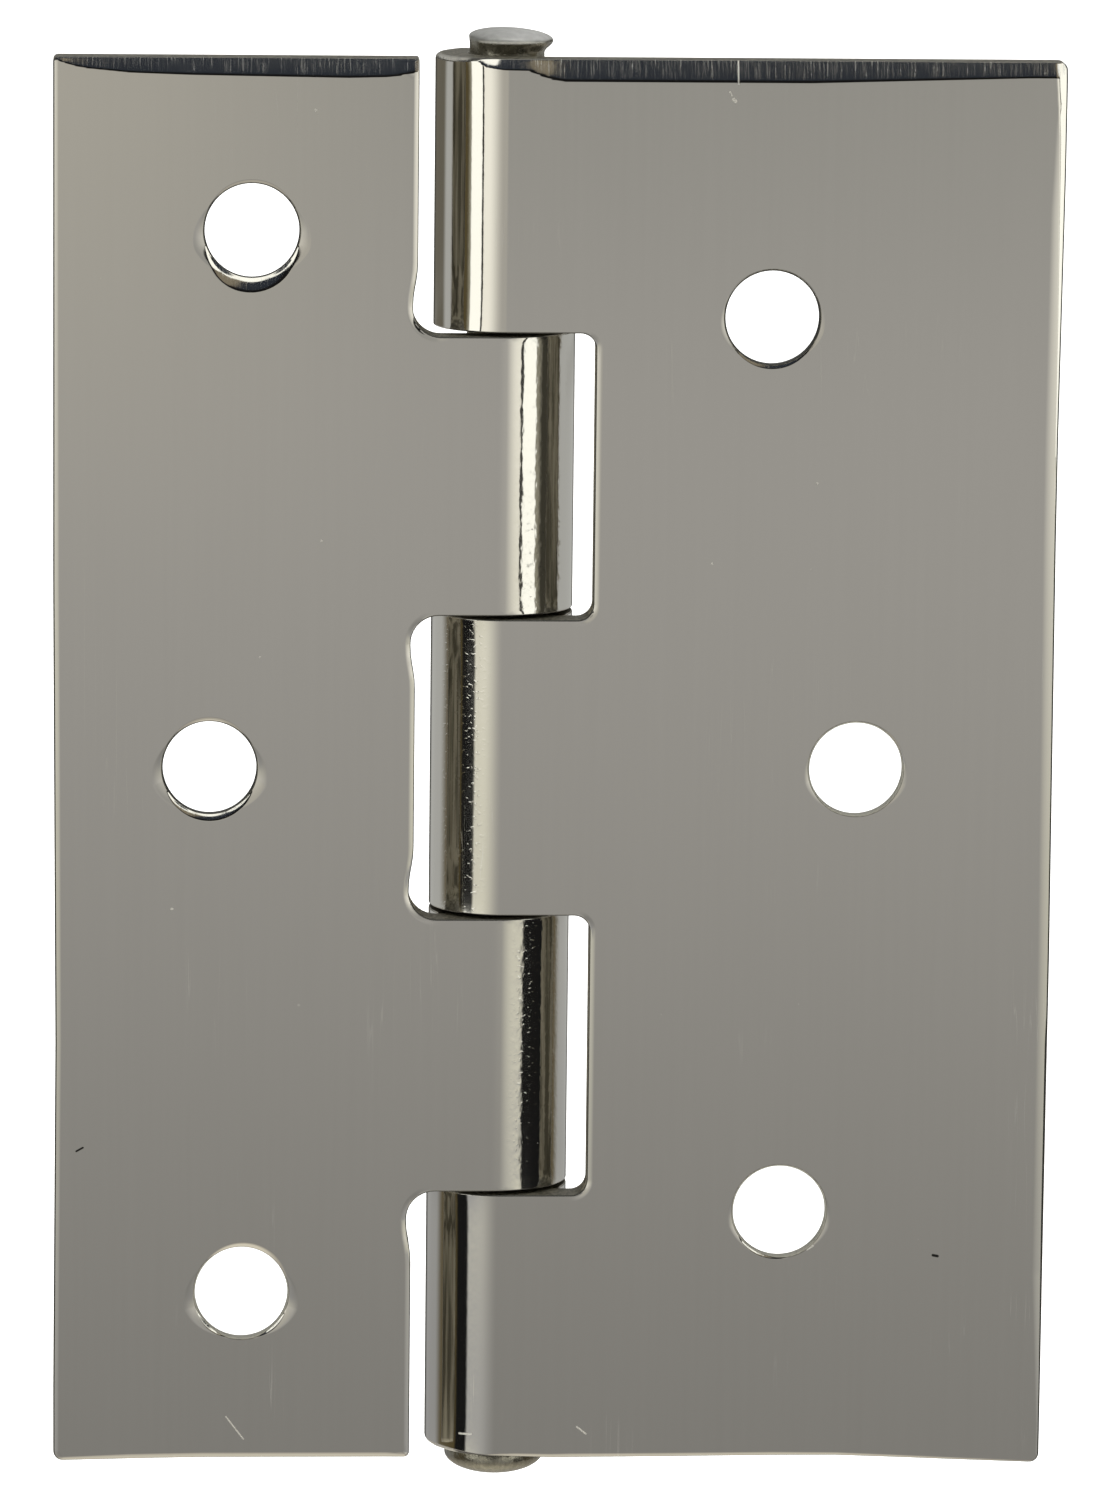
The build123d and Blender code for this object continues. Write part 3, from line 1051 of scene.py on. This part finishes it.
def pin_steel():
    """Plain pin steel: hammered and dull on the peened top, darker and dragged below it, with painted light
    towards the right of the top and a painted glint along the front of the brim.
    """
    material, g = new_material("dull_pin_steel")
    at = g.millimetres()
    x, y, z = g.split(at)
    dents = g.noise(at, 2.5, detail=3.0)
    drag = g.grain(at, (5.0, 5.0, 1.2), detail=3.0, roughness=0.7)
    crown = g.ramp(z, *CROWN_HEIGHTS)
    # Painted glint: a bright band along the front of the brim
    brim_glint = g.product(g.band(z, *BRIM_GLINT_HEIGHTS, BRIM_GLINT_FADE), g.ramp(y, *BRIM_GLINT_DEPTHS))

    shank = g.mix(drag, SHANK_DARK, SHANK_BRIGHT)
    # Painted light: the hammered top is lighter towards the right, over its dents
    lit = g.total(g.product(dents, 0.6), g.ramp(x, -2, 1.5, 0.0, 0.4))
    hammered = g.mix(lit, HAMMERED_SHADED, HAMMERED_LIT)
    tint = g.mix(crown, shank, hammered)
    tint = g.mix(brim_glint, tint, BRIM_PAINTED_GLINT)
    roughness = g.total(g.product(dents, 0.2), g.product(crown, 0.15), 0.16)
    height = g.total(g.product(dents, DENT_HEIGHT), g.product(drag, PIN_DRAG_HEIGHT))
    g.metal(tint, g.math("SUBTRACT", 1.0, g.product(g.either(crown, brim_glint), 0.6)), roughness, height)
    return material


# Colours of the studio, as the steel mirrors them
BLACK = (0.012, 0.012, 0.012, 1)
WHITE = (1.62, 1.62, 1.5, 1)
GREY_LOW = (0.30, 0.295, 0.282, 1)
GREY_MIDDLE = (0.495, 0.485, 0.463, 1)
GREY_HIGH = (0.44, 0.435, 0.41, 1)
GREY_WARM = (0.60, 0.58, 0.52, 1)
CREAM_LOW = (0.50, 0.50, 0.50, 1)
CREAM_MIDDLE = (0.92, 0.90, 0.76, 1)
CREAM_HIGH = (1.36, 1.33, 1.20, 1)
BEYOND_NEAR = (0.38, 0.36, 0.28, 1)
BEYOND_FAR = (0.06, 0.056, 0.042, 1)
UMBER_NEAR = (0.12, 0.095, 0.045, 1)
UMBER_FAR = (0.15, 0.125, 0.075, 1)
GLINT = (0.36, 0.32, 0.22, 1)
BEHIND_LOW = (0.40, 0.40, 0.40, 1)
BEHIND_HIGH = (0.57, 0.575, 0.555, 1)
DUSK = (0.18, 0.165, 0.13, 1)
SHADE = (0.07, 0.067, 0.06, 1)
WALL_LOW = (0.09, 0.086, 0.072, 1)
WALL_HIGH = (0.6, 0.6, 0.58, 1)
CEILING = (0.035, 0.042, 0.055, 1)
BEAM = (0.30, 0.26, 0.19, 1)
GROUND_FAR = (0.52, 0.49, 0.43, 1)
GROUND_BELOW = (0.98, 0.92, 0.77, 1)
BACKDROP = (1.0, 1.0, 1.0, 1)


def surroundings():
    """A small studio: grey in front, dark above, a tall white panel each side, pale below and behind.

    Angles are in degrees: azimuth and side from straight in front of the flush faces, rise from the level.
    """
    world = bpy.data.worlds.new("studio")
    bpy.context.scene.world = world
    world.use_nodes = True
    world.cycles.sampling_method = "NONE"
    g = Graph(world.node_tree)
    direction = g.vector("NORMALIZE", g.node("TexCoord").outputs["Generated"])
    x, y, z = g.split(direction)
    azimuth = g.math("DEGREES", g.math("ARCTAN2", x, g.math("MULTIPLY", y, -1.0)))
    side = g.math("ABSOLUTE", azimuth)
    rise = g.math("DEGREES", g.math("ARCSINE", z))

    def left_or_right(left, right):
        """How far out a direction lies past a border that differs from left to right, in degrees."""
        return g.math("SUBTRACT", side, g.ramp(azimuth, 10, 18, left, right))

    past_card = left_or_right(41.2, 34.5)
    past_panel = left_or_right(62.5, 55.0)
    past_low_card = left_or_right(g.ramp(rise, -14, -10, 51, 47.5), 40.5)
    past_dark = left_or_right(g.ramp(rise, -9, -7, 71, 66.5), g.ramp(rise, -10, -9, 80, 74.5))
    below_panel = g.math("ADD", rise, g.ramp(azimuth, -10, 10, 8.8, 9.7))

    # The card in front: grey, warmer on the left, and cream towards its sides
    grey = g.mix(g.ramp(rise, -17, -7.5), GREY_LOW, GREY_MIDDLE)
    grey = g.mix(g.ramp(rise, -8, -5), grey, GREY_HIGH)
    warm = g.product(g.ramp(azimuth, 3, -1), g.ramp(rise, -10, -5))
    grey = g.mix(warm, grey, GREY_WARM)
    cream = g.mix(g.ramp(rise, -15.5, -11), CREAM_LOW, CREAM_MIDDLE)
    cream = g.mix(g.ramp(rise, -11.5, -6), cream, CREAM_HIGH)
    cream_from = g.either(g.ramp(rise, -10, -7, -1.5, 5), g.ramp(azimuth, -2, 0, -1.5, 5))
    card = g.mix(g.ramp(side, cream_from, 33), grey, cream)

    # A white panel each side of it, in a black surround
    in_panel = g.product(g.ramp(past_card, 1.4, 2.2), g.ramp(past_panel, -1.5, 1.5, 1.0, 0.0))
    high = g.mix(g.ramp(past_card, -1.6, -0.9), card, BLACK)
    high = g.mix(in_panel, high, WHITE)
    beyond = g.mix(g.ramp(past_panel, 1, 11), BEYOND_NEAR, BEYOND_FAR)
    high = g.mix(g.ramp(past_panel, -1.5, 1.5), high, beyond)
    low = g.mix(g.ramp(past_low_card, -2.5, 2.5), card, BLACK)
    colour = g.mix(g.ramp(below_panel, -0.25, 0.25), low, high)

    # Brown beyond the panels, with two glints, then pale, with a shaded strip and a wall behind
    umber = g.mix(g.ramp(side, 74, 98), UMBER_NEAR, UMBER_FAR)
    glints = g.either(g.band(side, 76.3, 78.3, 0.8), g.band(side, 89, 91, 0.8))
    umber = g.mix(g.product(glints, g.ramp(rise, -9, -7)), umber, GLINT)
    colour = g.mix(g.ramp(past_dark, -3, 3), colour, umber)
    behind = g.mix(g.ramp(rise, -15.5, -10), BEHIND_LOW, BEHIND_HIGH)
    dusk = g.product(g.ramp(rise, -7.8, -6.8), g.ramp(side, 112, 124))
    behind = g.mix(dusk, behind, DUSK)
    behind_from = g.ramp(rise, -14, -9, 101, 96)
    behind_full = g.ramp(rise, -10, -8.5, 120, 103)
    colour = g.mix(g.ramp(side, behind_from, behind_full), colour, behind)
    shade = g.product(g.ramp(side, 150, 166), g.ramp(rise, -24, -14))
    colour = g.mix(shade, colour, SHADE)
    back_wall = g.mix(g.ramp(rise, 9, 17), WALL_LOW, WALL_HIGH)
    colour = g.mix(g.product(g.ramp(rise, -4, 0), g.ramp(side, 85, 100)), colour, back_wall)

    # Dark overhead, with a brown beam, the panels' upper ends and a lamp, and pale ground below
    overhead = g.mix(g.ramp(rise, 18, 25), BLACK, CEILING)
    beam = g.product(g.band(azimuth, 14, 36, 3), g.ramp(rise, 8, 14))
    overhead = g.mix(beam, overhead, BEAM)
    lamp = g.either(in_panel, g.ramp(rise, 52, 58))
    above = g.mix(lamp, overhead, WHITE)
    colour = g.mix(g.product(g.ramp(rise, 0.4, 1.2), g.ramp(side, 85, 100, 1.0, 0.0)), colour, above)
    ground = g.mix(g.ramp(rise, -34, -78), GROUND_FAR, GROUND_BELOW)
    colour = g.mix(g.ramp(rise, -17, -30), colour, ground)

    seen = g.node("Background", {"Color": BACKDROP, "Strength": 1.0})
    lit = g.node("Background", {"Color": colour, "Strength": 1.0})
    choose = g.node("MixShader")
    g.put(choose.inputs[0], g.node("LightPath").outputs["Is Camera Ray"])
    g.put(choose.inputs[1], lit.outputs["Background"])
    g.put(choose.inputs[2], seen.outputs["Background"])
    g.end("OutputWorld", choose.outputs["Shader"])


# The floor, in metres, and the light over it
FLOOR_Z = -0.4
FLOOR_HALF = 8.0
FLOOR_DARK = (0.92, 0.92, 0.92, 1)
FLOOR_BRIGHT = (0.94, 0.94, 0.94, 1)
FLOOR_GLOW = 0.6
FLOOR_ROUGHNESS = 0.9
LIGHT_STRENGTH = 1.2
LIGHT_SPREAD = math.radians(30)


def floor():
    """A wide pale floor well below the hinge, which hangs free of it."""
    corners = [(x * FLOOR_HALF, y * FLOOR_HALF, FLOOR_Z) for x, y in ((-1, -1), (1, -1), (1, 1), (-1, 1))]
    mesh = bpy.data.meshes.new("floor")
    mesh.from_pydata(corners, [], [(0, 1, 2, 3)])
    plane = new_object("floor", mesh)
    material, g = new_material("pale_floor")
    grain = g.noise(g.node("TexCoord").outputs["Object"], 6.0)
    inputs = {
        "Base Color": g.mix(grain, FLOOR_DARK, FLOOR_BRIGHT),
        "Roughness": FLOOR_ROUGHNESS,
        "Specular IOR Level": 0.0,
        "Emission Color": BACKDROP,
        "Emission Strength": FLOOR_GLOW,
    }
    g.end("OutputMaterial", g.node("BsdfPrincipled", inputs).outputs["BSDF"])
    mesh.materials.append(material)
    plane.visible_glossy = False


def overhead_light():
    """A broad soft light from straight above, which the steel doesn't mirror."""
    light = bpy.data.lights.new("overhead", "SUN")
    light.energy = LIGHT_STRENGTH
    light.angle = LIGHT_SPREAD
    new_object("overhead", light).visible_glossy = False


# Camera: a long lens, placed by its distance and angles from a point on the flush faces
CAMERA_TARGET = Vector((3.04, 0.0, 1.01))
CAMERA_DISTANCE = 438.3
CAMERA_AZIMUTH = math.radians(-2.92)
CAMERA_ELEVATION = math.radians(10.18)
CAMERA_ROLL = math.radians(0.632)
LENS = 196.5
SENSOR_WIDTH = 36
NEAREST_SEEN = 10


def camera():
    """Nearly square on to the flush faces, a little above them."""
    azimuth, elevation, roll = CAMERA_AZIMUTH, CAMERA_ELEVATION, CAMERA_ROLL
    back = Vector((
        math.sin(azimuth) * math.cos(elevation),
        -math.cos(azimuth) * math.cos(elevation),
        math.sin(elevation),
    ))
    right = Vector((0, 0, 1)).cross(back).normalized()
    up = back.cross(right)
    right, up = (
        right * math.cos(roll) + up * math.sin(roll),
        up * math.cos(roll) - right * math.sin(roll),
    )
    data = bpy.data.cameras.new("camera")
    data.lens = LENS
    data.sensor_width = SENSOR_WIDTH
    data.clip_start = NEAREST_SEEN * MM
    eye = new_object("camera", data)
    turn = Matrix((right, up, back)).transposed().to_4x4()
    place = CAMERA_TARGET * MM + back * (CAMERA_DISTANCE * MM)
    eye.matrix_world = Matrix.Translation(place) @ turn
    bpy.context.scene.camera = eye


leaf_finish, pin_finish = leaf_steel(), pin_steel()
for make, node, body, finish, slot in (
    (wide_leaf, "wide_leaf", "wide_side", leaf_finish, "leaf_steel"),
    (narrow_leaf, "narrow_leaf", "narrow_side", leaf_finish, "leaf_steel"),
    (hinge_pin, "hinge_pin", "wide_side", pin_finish, "pin_steel"),
):
    piece = make()
    piece.data.materials.append(finish)
    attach(piece, body)
    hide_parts(node)

surroundings()
floor()
overhead_light()
camera()
bpy.context.scene.view_settings.view_transform = "Standard"
